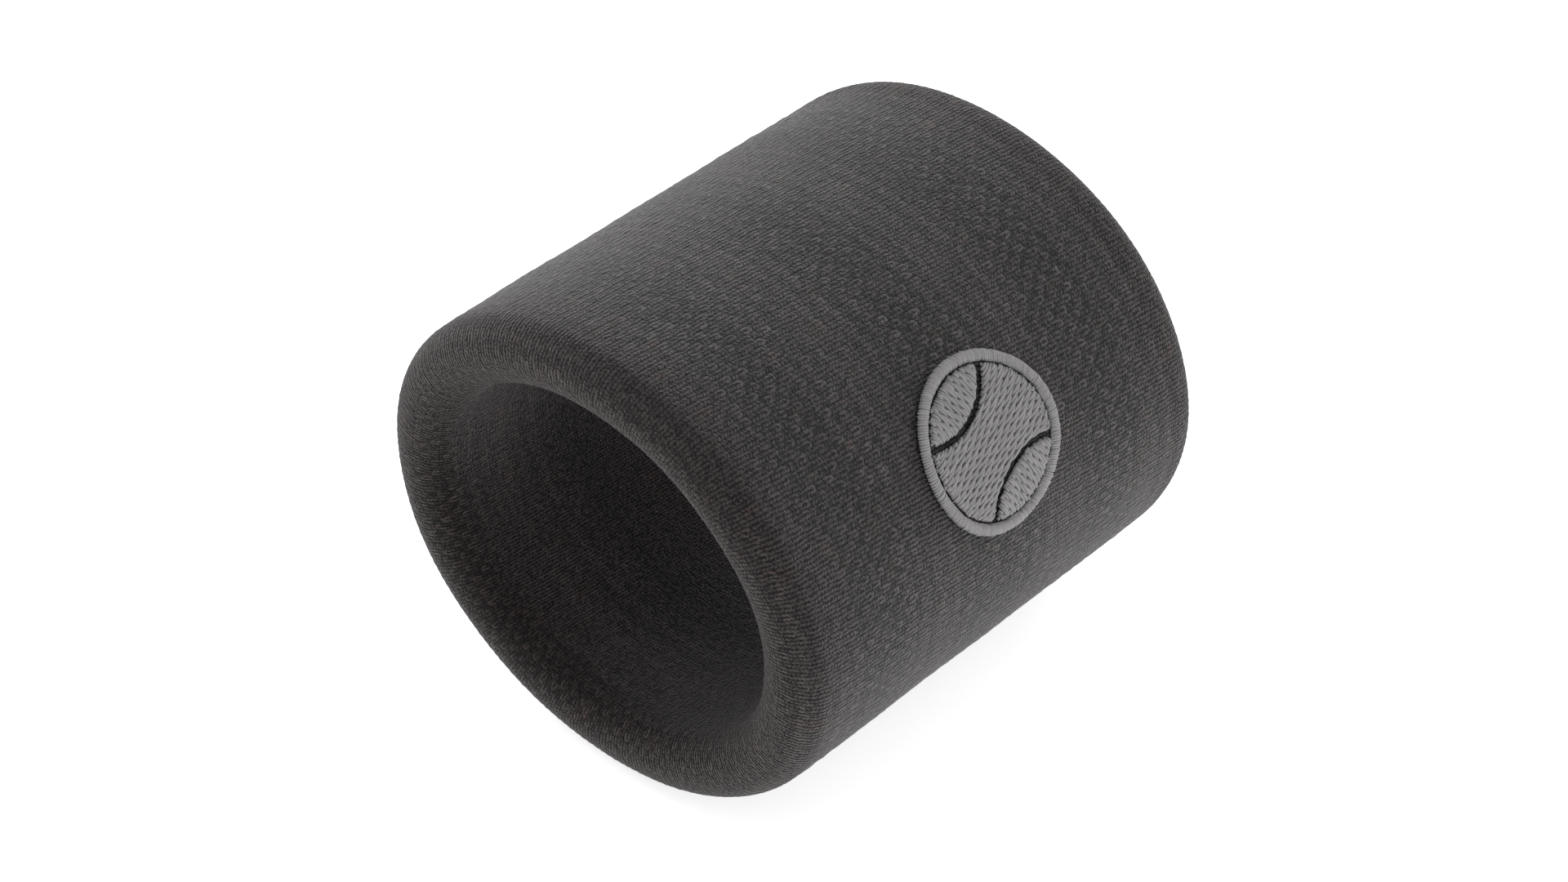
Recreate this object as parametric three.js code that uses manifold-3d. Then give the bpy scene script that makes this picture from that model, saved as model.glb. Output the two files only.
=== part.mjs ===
// A sweat wristband: a knitted terry tube folded over itself, with the elastic threads between its
// two layers, the seam that closes it, an embroidered ball on its side and a care label in its bore.
// Millimetres. Y runs along the bore, X across it and Z up. The band lies on its side, as it does on
// a table, and the origin is the middle of the narrow flat that it rests on.
import * as THREE from "three";
import { mergeVertices } from "three/addons/utils/BufferGeometryUtils.js";
import Module from "manifold-3d";

// ---- Driving dimensions ----------------------------------------------------------------------
const CLEARANCE = 0.3; // between pieces that touch

const BAND_LENGTH = 76; // from rim to rim, along the bore
const BAND_RADIUS = 35.1; // outer radius, before the band sags under its own weight
const SAG = 2.1; // how far the sides spread, and the top and bottom close in, as it lies
const LAYER = 3.9; // one thickness of terry
const RIM_BULGE = 0.9; // depth of a rolled rim, as a share of half the wall
const REST_FLAT_DEPTH = 0.35; // how deep the underside is pressed flat

const ELASTIC_DIAMETER = 0.5; // one covered rubber thread
const ELASTIC_COUNT = 12;
const ELASTIC_END_MARGIN = 3; // from the end of the space between the layers to the first thread

const SEAM_OFFSET = 7.6; // the closing seam's place in the bore, from the middle to the far end
const SEAM_SLIT = 0.6; // between the two cut edges that the seam holds together
const SEAM_THREAD_WIDTH = 2.4; // the row of stitches, along the bore
const SEAM_THREAD_DEPTH = 0.6; // the row of stitches, into the terry

const MARK_RADIUS = 11.5; // the embroidered ball, outside its border
const MARK_ANGLE = 29; // degrees up from the band's widest side, round the bore
const MARK_TILT = 24; // degrees that the ball is turned in its own plane
const MARK_THICKNESS = 0.7; // of the stitching
const MARK_BORDER = 1.5; // width of the stitched border
const BALL_SEAM_WIDTH = 0.9; // the unstitched line between two panels of the ball
const BALL_SEAM_RADIUS = 10.5; // radius of that curved line
const BALL_PANEL_REACH = 5.4; // how far an outer panel reaches in from the border's inner edge
const BACKING_THICKNESS = 0.25; // the patch behind the stitching
const BACKING_MARGIN = 2; // how far the patch reaches past the ball

const LABEL_WIDTH = 12; // across the bore
const LABEL_LENGTH = 18; // from the seam to the fold at its free end
const LABEL_THICKNESS = 0.4; // both layers of the folded ribbon

// ---- Fineness of the faces -------------------------------------------------------------------
const CLOTH_STEPS = 64; // faces round the bore
const THREAD_STEPS = 36; // faces round the bore, on a thread
const ROUND_STEPS = 4; // curve steps of a rolled rim
const SMALL_ROUND_STEPS = 3; // curve steps of a thread, a fold or a rounded end
const MARK_STEPS = 16; // curve steps of the ball's outline

// ---- Derived sizes ---------------------------------------------------------------------------
const LAYER_GAP = ELASTIC_DIAMETER + BACKING_THICKNESS + 3 * CLEARANCE;
const WALL = 2 * LAYER + LAYER_GAP;
const BORE_RADIUS = BAND_RADIUS - WALL;
const HALF_LENGTH = BAND_LENGTH / 2;
const RIM_DEPTH = (RIM_BULGE * WALL) / 2;
const GAP_INNER_RADIUS = BORE_RADIUS + LAYER;
const GAP_OUTER_RADIUS = BAND_RADIUS - LAYER;
const GAP_HALF_LENGTH = HALF_LENGTH - LAYER - LAYER_GAP / 2; // its straight part
const SEAM_GROOVE_DEPTH = SEAM_THREAD_DEPTH + CLEARANCE;
const BORE_CENTRE_HEIGHT = BAND_RADIUS - SAG - REST_FLAT_DEPTH;

const wasm = await Module();
wasm.setup();

// ---- Solids ----------------------------------------------------------------------------------
// A closed geometry as a manifold-3d solid.
function solidOf(geometry) {
  const bare = geometry.clone();
  bare.deleteAttribute("normal");
  bare.deleteAttribute("uv");
  const merged = mergeVertices(bare);
  return new wasm.Manifold(
    new wasm.Mesh({
      numProp: 3,
      vertProperties: merged.attributes.position.array,
      triVerts: new Uint32Array(merged.index.array),
    }),
  );
}

// A manifold-3d solid as a geometry.
function geometryOf(solid) {
  const { vertProperties, triVerts } = solid.getMesh();
  const geometry = new THREE.BufferGeometry();
  geometry.setAttribute("position", new THREE.BufferAttribute(vertProperties, 3));
  geometry.setIndex(new THREE.BufferAttribute(triVerts, 1));
  geometry.computeVertexNormals();
  return geometry;
}

// ---- Shapes that go round the bore -----------------------------------------------------------
// Moves a round ring's points so that it is the oval of a band lying on its side: every ring keeps
// its thickness, and its gap to the rings inside and outside it.
function sagOval(geometry) {
  const position = geometry.attributes.position;
  for (let i = 0; i < position.count; i += 1) {
    const x = position.getX(i);
    const z = position.getZ(i);
    const radius = Math.hypot(x, z);
    position.setX(i, x + (SAG * x) / radius);
    position.setZ(i, z - (SAG * z) / radius);
  }
  return geometry;
}

// The oval ring that a closed profile (distance from the bore's axis, place along it) sweeps.
function ring(profile, curveSteps, aroundSteps) {
  return sagOval(new THREE.LatheGeometry(profile.getPoints(curveSteps), aroundSteps));
}

// The profile of a ring with a rectangular section.
function bandProfile(innerRadius, outerRadius, low, high) {
  const profile = new THREE.Path();
  profile.moveTo(outerRadius, low);
  profile.lineTo(outerRadius, high);
  profile.lineTo(innerRadius, high);
  profile.lineTo(innerRadius, low);
  profile.closePath();
  return profile;
}

// ---- The knitted tube ------------------------------------------------------------------------
// Outer wall, far rim, inner wall down to the seam, back round the space between the layers, and
// the rest of the inner wall to the near rim: one cloth, open only where the seam closes it.
function terryProfile() {
  const wallMiddle = BAND_RADIUS - WALL / 2;
  const rimStart = HALF_LENGTH - RIM_DEPTH;
  const gapMiddle = (GAP_INNER_RADIUS + GAP_OUTER_RADIUS) / 2;
  const grooveHalf = SEAM_THREAD_WIDTH / 2 + CLEARANCE;
  const grooveRadius = BORE_RADIUS + SEAM_GROOVE_DEPTH;
  const slitHalf = SEAM_SLIT / 2;
  const profile = new THREE.Path();
  profile.moveTo(BAND_RADIUS, -rimStart);
  profile.lineTo(BAND_RADIUS, rimStart);
  profile.absellipse(wallMiddle, rimStart, WALL / 2, RIM_DEPTH, 0, Math.PI, false);
  profile.lineTo(BORE_RADIUS, SEAM_OFFSET + grooveHalf);
  profile.lineTo(grooveRadius, SEAM_OFFSET + grooveHalf);
  profile.lineTo(grooveRadius, SEAM_OFFSET + slitHalf);
  profile.lineTo(GAP_INNER_RADIUS, SEAM_OFFSET + slitHalf);
  profile.lineTo(GAP_INNER_RADIUS, GAP_HALF_LENGTH);
  profile.absarc(gapMiddle, GAP_HALF_LENGTH, LAYER_GAP / 2, Math.PI, 0, true);
  profile.lineTo(GAP_OUTER_RADIUS, -GAP_HALF_LENGTH);
  profile.absarc(gapMiddle, -GAP_HALF_LENGTH, LAYER_GAP / 2, 0, -Math.PI, true);
  profile.lineTo(GAP_INNER_RADIUS, SEAM_OFFSET - slitHalf);
  profile.lineTo(grooveRadius, SEAM_OFFSET - slitHalf);
  profile.lineTo(grooveRadius, SEAM_OFFSET - grooveHalf);
  profile.lineTo(BORE_RADIUS, SEAM_OFFSET - grooveHalf);
  profile.lineTo(BORE_RADIUS, -rimStart);
  profile.absellipse(wallMiddle, -rimStart, WALL / 2, RIM_DEPTH, Math.PI, 2 * Math.PI, false);
  return profile;
}

// The tube with its underside pressed flat where it rests.
function terryGeometry() {
  const tube = solidOf(ring(terryProfile(), ROUND_STEPS, CLOTH_STEPS));
  const table = new THREE.BoxGeometry(4 * BAND_RADIUS, 2 * BAND_LENGTH, 2 * BAND_RADIUS);
  table.translate(0, 0, -BORE_CENTRE_HEIGHT - BAND_RADIUS);
  return geometryOf(tube.subtract(solidOf(table)));
}

// The row of stitches that joins the tube's two cut edges, level with the bore's wall.
function seamThreadGeometry() {
  const profile = bandProfile(
    BORE_RADIUS,
    BORE_RADIUS + SEAM_THREAD_DEPTH,
    SEAM_OFFSET - SEAM_THREAD_WIDTH / 2,
    SEAM_OFFSET + SEAM_THREAD_WIDTH / 2,
  );
  return ring(profile, SMALL_ROUND_STEPS, CLOTH_STEPS);
}

// One elastic thread, lying on the back of the inner layer.
function elasticGeometry(place) {
  const threadRadius = ELASTIC_DIAMETER / 2;
  const middle = GAP_INNER_RADIUS + CLEARANCE + threadRadius;
  const profile = new THREE.Path().absarc(middle, place, threadRadius, 0, 2 * Math.PI, false);
  return ring(profile, SMALL_ROUND_STEPS, THREAD_STEPS);
}

// ---- The embroidered ball --------------------------------------------------------------------
// A place on the outer wall where X points up round the band, Y across it and Z straight out.
function markPlace() {
  const angle = THREE.MathUtils.degToRad(MARK_ANGLE);
  const wide = BAND_RADIUS + SAG;
  const high = BAND_RADIUS - SAG;
  const out = new THREE.Vector3(Math.cos(angle) / wide, 0, Math.sin(angle) / high).normalize();
  const bore = new THREE.Vector3(0, 1, 0);
  const round = new THREE.Vector3().crossVectors(bore, out);
  const tilt = new THREE.Matrix4().makeRotationZ(THREE.MathUtils.degToRad(MARK_TILT));
  return new THREE.Matrix4()
    .makeBasis(round, bore, out)
    .multiply(tilt)
    .setPosition(wide * Math.cos(angle), 0, high * Math.sin(angle));
}

// A round column through the wall at the mark, its axis offset from the ball's middle.
function markColumn(radius, offset) {
  const outline = new THREE.Shape().absarc(offset, 0, radius, 0, 2 * Math.PI, false);
  const settings = { depth: 2 * WALL, bevelEnabled: false, curveSegments: MARK_STEPS };
  const column = new THREE.ExtrudeGeometry(outline, settings);
  column.translate(0, 0, -WALL);
  return solidOf(column.applyMatrix4(markPlace()));
}

// A thin curved shell that follows the band between two radii, as wide as the mark and its backing.
function markShell(innerRadius, outerRadius) {
  const half = MARK_RADIUS + 2 * BACKING_MARGIN;
  const profile = bandProfile(innerRadius, outerRadius, -half, half);
  return solidOf(ring(profile, SMALL_ROUND_STEPS, CLOTH_STEPS));
}

// The stitched border, and the three fields of stitches that the ball's two curved lines part.
function markGeometries() {
  const stitching = markShell(
    BAND_RADIUS + CLEARANCE,
    BAND_RADIUS + CLEARANCE + MARK_THICKNESS,
  );
  const borderInner = MARK_RADIUS - MARK_BORDER;
  const fieldRadius = borderInner - CLEARANCE;
  const lineOffset = fieldRadius - BALL_PANEL_REACH + BALL_SEAM_RADIUS;
  const halfLine = BALL_SEAM_WIDTH / 2;
  const field = stitching.intersect(markColumn(fieldRadius, 0));
  const outerPanel = (side) =>
    field.intersect(markColumn(BALL_SEAM_RADIUS - halfLine, side * lineOffset));
  const pastLine = (side) => markColumn(BALL_SEAM_RADIUS + halfLine, side * lineOffset);
  return {
    emblem_border: stitching
      .intersect(markColumn(MARK_RADIUS, 0))
      .subtract(markColumn(borderInner, 0)),
    emblem_panel_left: outerPanel(-1),
    emblem_panel_middle: field.subtract(pastLine(-1)).subtract(pastLine(1)),
    emblem_panel_right: outerPanel(1),
  };
}

// The patch on the back of the outer layer, behind the stitching.
function backingGeometry() {
  const outer = GAP_OUTER_RADIUS - CLEARANCE;
  const shell = markShell(outer - BACKING_THICKNESS, outer);
  return geometryOf(shell.intersect(markColumn(MARK_RADIUS + BACKING_MARGIN, 0)));
}

// ---- The care label --------------------------------------------------------------------------
// Height of the label's middle from the bore's axis: its long edges lie on the curved wall.
function labelHeight() {
  const wide = BORE_RADIUS + SAG;
  const high = BORE_RADIUS - SAG;
  const wallAtEdge = -high * Math.sqrt(1 - (LABEL_WIDTH / 2 / wide) ** 2);
  return wallAtEdge + CLEARANCE + LABEL_THICKNESS / 2;
}

// A ribbon folded in two: flat from the seam, with a round fold at the free end.
function labelGeometry() {
  const half = LABEL_THICKNESS / 2;
  const outline = new THREE.Shape();
  outline.moveTo(0, -half);
  outline.lineTo(LABEL_LENGTH - half, -half);
  outline.absarc(LABEL_LENGTH - half, 0, half, -Math.PI / 2, Math.PI / 2, false);
  outline.lineTo(0, half);
  outline.closePath();
  const ribbon = new THREE.ExtrudeGeometry(outline, {
    depth: LABEL_WIDTH,
    bevelEnabled: false,
    curveSegments: SMALL_ROUND_STEPS,
  });
  ribbon.translate(0, 0, -LABEL_WIDTH / 2);
  // The outline's X becomes the bore's direction, and its Y becomes up.
  const alongBore = new THREE.Matrix4().makeBasis(
    new THREE.Vector3(0, 1, 0),
    new THREE.Vector3(0, 0, 1),
    new THREE.Vector3(1, 0, 0),
  );
  return ribbon.applyMatrix4(alongBore);
}

// ---- Materials -------------------------------------------------------------------------------
const cloth = (color, roughness) =>
  new THREE.MeshStandardMaterial({ color, roughness, metalness: 0 });

const FINISHES = {
  terry: () => cloth(0x4b4a49, 0.95),
  thread: () => cloth(0x454443, 0.8),
  elastic: () => cloth(0x2a2a2a, 0.7),
  backing: () => cloth(0xdad7cf, 0.9),
  embroidery: () => cloth(0x9a9b9c, 0.55),
  label: () => cloth(0xe6e4de, 0.5),
};

function piece(name, geometry, finish) {
  const mesh = new THREE.Mesh(geometry, FINISHES[finish]());
  mesh.name = name;
  return mesh;
}

// ---- The assembly ----------------------------------------------------------------------------
function elasticThreads() {
  const threads = new THREE.Group();
  const reach = GAP_HALF_LENGTH - ELASTIC_END_MARGIN;
  const pitch = (2 * reach) / (ELASTIC_COUNT - 1);
  for (let i = 0; i < ELASTIC_COUNT; i += 1) {
    const number = String(i + 1).padStart(2, "0");
    threads.add(piece(`elastic_thread_${number}`, elasticGeometry(i * pitch - reach), "elastic"));
  }
  return threads;
}

function embroidery() {
  const mark = new THREE.Group();
  for (const [name, solid] of Object.entries(markGeometries())) {
    mark.add(piece(name, geometryOf(solid), "embroidery"));
  }
  mark.add(piece("embroidery_backing", backingGeometry(), "backing"));
  return mark;
}

function careLabel() {
  const label = piece("care_label", labelGeometry(), "label");
  label.position.set(0, SEAM_OFFSET, labelHeight());
  return label;
}

const wristband = new THREE.Group();
wristband.position.z = BORE_CENTRE_HEIGHT;
wristband.add(piece("terry_tube", terryGeometry(), "terry"));
wristband.add(piece("closing_seam_thread", seamThreadGeometry(), "thread"));
wristband.add(elasticThreads());
wristband.add(embroidery());
wristband.add(careLabel());

export default wristband;
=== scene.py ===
"""Looks of a knitted sweat wristband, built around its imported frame.

Metres, in the frame's own axes: Y along the bore, X across it and Z up.
"""

from __future__ import annotations

import logging
import math
from collections.abc import Callable, Iterable, Mapping
from dataclasses import dataclass, field
from enum import Enum

import bpy
import numpy as np
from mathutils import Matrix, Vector

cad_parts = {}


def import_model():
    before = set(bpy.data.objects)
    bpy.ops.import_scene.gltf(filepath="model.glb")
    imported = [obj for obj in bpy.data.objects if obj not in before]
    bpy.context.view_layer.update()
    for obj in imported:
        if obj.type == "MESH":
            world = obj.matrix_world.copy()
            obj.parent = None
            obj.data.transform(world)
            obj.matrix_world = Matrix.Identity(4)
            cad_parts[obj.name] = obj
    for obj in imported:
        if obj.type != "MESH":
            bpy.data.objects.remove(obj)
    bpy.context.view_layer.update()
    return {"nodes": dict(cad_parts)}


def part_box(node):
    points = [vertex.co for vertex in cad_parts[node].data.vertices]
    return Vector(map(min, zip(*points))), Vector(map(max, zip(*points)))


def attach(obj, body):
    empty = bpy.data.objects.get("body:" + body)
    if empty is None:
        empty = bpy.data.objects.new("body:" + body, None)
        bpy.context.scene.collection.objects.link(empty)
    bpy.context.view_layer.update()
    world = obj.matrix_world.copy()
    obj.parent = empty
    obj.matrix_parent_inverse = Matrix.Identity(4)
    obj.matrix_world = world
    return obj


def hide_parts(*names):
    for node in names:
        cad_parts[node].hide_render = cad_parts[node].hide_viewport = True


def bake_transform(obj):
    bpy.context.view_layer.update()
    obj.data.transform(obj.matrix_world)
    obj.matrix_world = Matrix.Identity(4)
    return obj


Array = np.ndarray
Colour = tuple[float, float, float]
Place = tuple[float, float, float]
Inside = Callable[[Array, Array], Array]

MM = 0.001
FULL_TURN = 2.0 * math.pi
QUARTER_TURN = math.pi / 2.0
CLOTH_MAP = "cloth"
BAKE_MAP = "OFBake"
TONE = "tone"
WHITE: Colour = (1.0, 1.0, 1.0)

log = logging.getLogger("wristband")


class Body(Enum):
    """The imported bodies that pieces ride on."""

    BAND = "band"
    LABEL = "label"


class Slot(Enum):
    """The record's material slots, by name."""

    TERRY = "terry"
    SEAM_THREAD = "seam_thread"
    EMBROIDERY = "embroidery"
    LABEL = "label"


# ---- Shader expressions -------------------------------------------------------------------------
class Value:
    """What varies over a surface: one output socket, with operators that add Math nodes."""

    def __init__(self, shader: Nodes, socket: bpy.types.NodeSocket) -> None:
        """Wraps a socket of a shader's tree."""
        self.shader = shader
        self.socket = socket

    def maths(self, operation: str, *others: Value | float) -> Value:
        """A Math node's result, with this value as its first input."""
        return self.shader.maths(operation, self, *others)

    def __add__(self, other: Value | float) -> Value:
        """This value plus another."""
        return self.maths("ADD", other)

    def __radd__(self, other: float) -> Value:
        """A number plus this value."""
        return self.maths("ADD", other)

    def __sub__(self, other: Value | float) -> Value:
        """This value less another."""
        return self.maths("SUBTRACT", other)

    def __rsub__(self, other: float) -> Value:
        """A number less this value."""
        return self.shader.maths("SUBTRACT", other, self)

    def __mul__(self, other: Value | float) -> Value:
        """This value times another."""
        return self.maths("MULTIPLY", other)

    def __rmul__(self, other: float) -> Value:
        """A number times this value."""
        return self.maths("MULTIPLY", other)

    def __truediv__(self, other: Value | float) -> Value:
        """This value over another."""
        return self.maths("DIVIDE", other)

    def __rtruediv__(self, other: float) -> Value:
        """A number over this value."""
        return self.shader.maths("DIVIDE", other, self)

    def __pow__(self, other: Value | float) -> Value:
        """This value to a power."""
        return self.maths("POWER", other)

    def __rpow__(self, other: float) -> Value:
        """A number to the power of this value."""
        return self.shader.maths("POWER", other, self)

    def __abs__(self) -> Value:
        """This value without its sign."""
        return self.maths("ABSOLUTE")

    def floor(self) -> Value:
        """The whole number below this value."""
        return self.maths("FLOOR")

    def fraction(self) -> Value:
        """What is left of this value above its whole number."""
        return self.maths("FRACT")

    def wave(self) -> Value:
        """A sine wave from 0 to 1 that repeats each time this value grows by 1."""
        return 0.5 + 0.5 * (self * FULL_TURN).maths("SINE")

    def root(self) -> Value:
        """The square root of this value."""
        return self.maths("SQRT")

    def at_least(self, other: Value | float) -> Value:
        """The greater of this value and another."""
        return self.maths("MAXIMUM", other)

    def at_most(self, other: Value | float) -> Value:
        """The smaller of this value and another."""
        return self.maths("MINIMUM", other)

    def step(self, low: float, high: float) -> Value:
        """A smooth step from 0 to 1 between two levels of this value."""
        inputs = {"Value": self, "From Min": low, "From Max": high}
        return self.shader.node("ShaderNodeMapRange", {"interpolation_type": "SMOOTHSTEP"},
                                inputs)["Result"]


class Outputs:
    """A node's outputs by name, each as a Value."""

    def __init__(self, shader: Nodes, node: bpy.types.Node) -> None:
        """Wraps a node of a shader's tree."""
        self.shader = shader
        self.node = node

    def __getitem__(self, name: str) -> Value:
        """The enabled output with that name."""
        return Value(self.shader, socket_of(self.node.outputs, name))


class Nodes:
    """A node tree whose nodes are added by expressions."""

    def __init__(self, tree: bpy.types.NodeTree) -> None:
        """Takes a tree and clears it."""
        self.tree = tree
        self.tree.nodes.clear()

    def node(
        self,
        kind: str,
        settings: Mapping[str, object] | None = None,
        inputs: Mapping[str | int, object] | None = None,
    ) -> Outputs:
        """Adds any node.

        Args:
            kind: the node's type.
            settings: its properties, which are set first.
            inputs: a value or a link for each named or numbered input.

        Returns:
            The node's outputs.
        """
        made = self.tree.nodes.new(kind)
        for name, value in (settings or {}).items():
            setattr(made, name, value)
        for key, value in (inputs or {}).items():
            self.feed(socket_of(made.inputs, key), value)
        return Outputs(self, made)

    def feed(self, socket: bpy.types.NodeSocket, value: object) -> None:
        """Links a Value to a socket, or sets its number or colour.

        Args:
            socket: the input.
            value: what it gets. A colour is given its alpha of 1.
        """
        if isinstance(value, Value):
            self.tree.links.new(value.socket, socket)
        elif socket.type == "RGBA":
            socket.default_value = (*value, 1.0)
        else:
            socket.default_value = value

    def maths(self, operation: str, *numbers: Value | float) -> Value:
        """The result of a Math node with its inputs in order."""
        inputs = dict(enumerate(numbers))
        return self.node("ShaderNodeMath", {"operation": operation}, inputs)["Value"]

    def blend(self, factor: Value, low: Value | Colour, high: Value | Colour) -> Value:
        """Two colours mixed: the first where the factor is 0, the second where it is 1."""
        inputs = {"Factor": factor, "A": low, "B": high}
        return self.node("ShaderNodeMix", {"data_type": "RGBA"}, inputs)["Result"]

    def times(self, colour: Value, tint: Value) -> Value:
        """Two colours multiplied, channel by channel."""
        inputs = {0: colour, 1: tint}
        return self.node("ShaderNodeVectorMath", {"operation": "MULTIPLY"}, inputs)["Vector"]

    def scaled(self, colour: Value, factor: Value) -> Value:
        """A colour made lighter or darker by a varying factor."""
        grey = self.node("ShaderNodeCombineXYZ", None, {"X": factor, "Y": factor, "Z": factor})
        return self.times(colour, grey["Vector"])

    def dot(self, vector: Value, other: Place) -> Value:
        """How far a vector reaches along a fixed direction."""
        inputs = {0: vector, 1: other}
        return self.node("ShaderNodeVectorMath", {"operation": "DOT_PRODUCT"}, inputs)["Value"]


class Shader(Nodes):
    """One material: a Principled surface whose varying inputs are written as expressions."""

    def __init__(self, name: str) -> None:
        """Makes the material, with an empty tree.

        Args:
            name: the material's name.
        """
        self.material = bpy.data.materials.new(name)
        self.material.use_nodes = True
        super().__init__(self.material.node_tree)

    def position(self) -> Value:
        """Places on the piece, in metres."""
        return self.node("ShaderNodeTexCoord")["Object"]

    def noise(self, cells: float, detail: float = 2.0) -> Value:
        """Noise from 0 to 1.

        Args:
            cells: its cells in a metre.
            detail: octaves added to the first.

        Returns:
            The noise.
        """
        inputs = {"Vector": self.position(), "Scale": cells, "Detail": detail}
        return self.node("ShaderNodeTexNoise", None, inputs)["Fac"]

    def streaks(self, along: Value, width: float) -> Value:
        """Noise from 0 to 1 that changes in one direction only.

        Args:
            along: places in that direction, in metres.
            width: about how wide a streak is.

        Returns:
            The noise.
        """
        inputs = {"W": along * (1.0 / width), "Scale": 1.0, "Detail": 2.0}
        return self.node("ShaderNodeTexNoise", {"noise_dimensions": "1D"}, inputs)["Fac"]

    def cloth_map(self) -> tuple[Value, Value]:
        """The cloth's own two coordinates.

        Returns:
            The place across the cloth's columns, and the place along them.
        """
        uv = self.node("ShaderNodeUVMap", {"uv_map": CLOTH_MAP})["UV"]
        parts = self.node("ShaderNodeSeparateXYZ", None, {"Vector": uv})
        return parts["X"], parts["Y"]

    def chance(self, first: Value, second: Value) -> Value:
        """A random number from 0 to 1 for each pair of whole numbers."""
        both = self.node("ShaderNodeCombineXYZ", None, {"X": first, "Y": second, "Z": 0.0})
        return self.node("ShaderNodeTexWhiteNoise", {"noise_dimensions": "3D"},
                         {"Vector": both["Vector"]})["Value"]

    def attribute(self, name: str) -> Value:
        """A number that the mesh holds at its points."""
        settings = {"attribute_type": "GEOMETRY", "attribute_name": name}
        return self.node("ShaderNodeAttribute", settings)["Fac"]

    def bump(self, height: Value, distance: float) -> Value:
        """A normal from a height, where a height of 1 stands that many metres."""
        inputs = {"Height": height, "Distance": distance}
        return self.node("ShaderNodeBump", None, inputs)["Normal"]

    def finish(self, surface: Mapping[str, Value | float | Colour]) -> bpy.types.Material:
        """Adds the surface.

        Args:
            surface: its inputs: a number or colour that is the same all over, or a link.

        Returns:
            The material.
        """
        shaded = self.node("ShaderNodeBsdfPrincipled", None, surface)["BSDF"]
        self.node("ShaderNodeOutputMaterial", None, {"Surface": shaded})
        return self.material


def socket_of(sockets: Iterable[bpy.types.NodeSocket], key: str | int) -> bpy.types.NodeSocket:
    """Finds one of a node's sockets.

    Args:
        sockets: the node's inputs or outputs.
        key: the socket's name, or its number in order.

    Returns:
        The enabled socket with that name or number.
    """
    enabled = [socket for socket in sockets if socket.enabled]
    if isinstance(key, int):
        return enabled[key]
    return next(socket for socket in enabled if socket.name == key)


def ramp(low: float, high: float, share: Value) -> Value:
    """A value that goes from low to high as a share goes from 0 to 1."""
    return low + (high - low) * share


def redrawn(tone: Value) -> Value:
    """Another random number from 0 to 1, drawn from a random tone."""
    return (tone * 7.3).fraction()


def hump(distance: Value, width: float) -> Value:
    """A round hump of height 1 where a distance is 0, down to 0 where it is the width."""
    return (1.0 - (abs(distance) * (1.0 / width)) ** 2.0).at_least(0.0)


# ---- Finishes -----------------------------------------------------------------------------------
@dataclass(frozen=True)
class Knit:
    """The knit's sizes, shared by the cloth's mesh and its finish.

    The wales are the columns round the band. A wale is one column's width, a course one stitch's
    height. Loops rise every loop pitch, and every zone pitch a column's loops slide by one against
    its neighbour's. The lean is how many columns the knit shifts sideways in a metre.
    """

    wales: int = 186
    wale: float = 1.19 * MM
    course: float = 0.51 * MM
    loop_pitch: float = 2.95 * MM
    zone_pitch: float = 21.8 * MM
    lean: float = 0.078 / MM


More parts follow.
